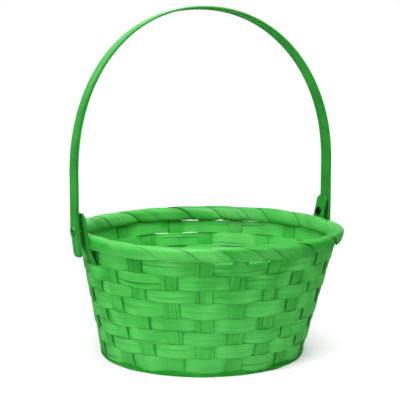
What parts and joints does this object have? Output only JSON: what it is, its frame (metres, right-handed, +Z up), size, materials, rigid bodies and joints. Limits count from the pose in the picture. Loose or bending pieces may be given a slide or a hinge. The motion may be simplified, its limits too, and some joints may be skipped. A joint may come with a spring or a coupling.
{
  "type": "basket with handle",
  "caption": "Round woven splint basket with a wound rim and a tall bow handle that swings on two rivets.",
  "frame": {"origin": "on the table, under the middle of the handle's two pivots, at the centre of the part's bounding box", "axes": "+Z up; X runs through the two rivets, from the left ear (-X) to the right ear (+X); the handle swings in the Y direction"},
  "size_m": [0.2658, 0.2445, 0.3126],
  "materials": {
    "stakes": "satin dyed split bamboo",
    "weavers": "satin dyed split bamboo",
    "hoops": "satin dyed split bamboo",
    "winding": "satin dyed split bamboo",
    "ears": "satin dyed bamboo lath",
    "handle": "satin dyed bamboo lath",
    "rivets": "dark steel with overspray of the green dye"
  },
  "bodies": {
    "basket": {"splint_01": "stakes", "splint_02": "stakes", "splint_03": "stakes", "splint_04": "stakes", "splint_05": "stakes", "splint_06": "stakes", "splint_07": "stakes", "splint_08": "stakes", "splint_09": "stakes", "splint_10": "stakes", "splint_11": "stakes", "splint_12": "stakes", "weaver_1": "weavers", "weaver_2": "weavers", "weaver_3": "weavers", "weaver_4": "weavers", "weaver_5": "weavers", "weaver_6": "weavers", "weaver_7": "weavers", "weaver_8": "weavers", "foot_hoop": "hoops", "outer_hoop": "hoops", "inner_hoop": "hoops", "rim_winding": "winding", "left_ear": "ears", "right_ear": "ears", "left_rivet": "rivets", "right_rivet": "rivets"},
    "handle": {"handle": "handle"}
  },
  "joints": [
    {"name": "handle_swing", "type": "hinge", "parent": "basket", "child": "handle", "pos_m": [0, 0, 0.1206], "axis": [1, 0, 0], "range_deg": [-125, 125]}
  ]
}
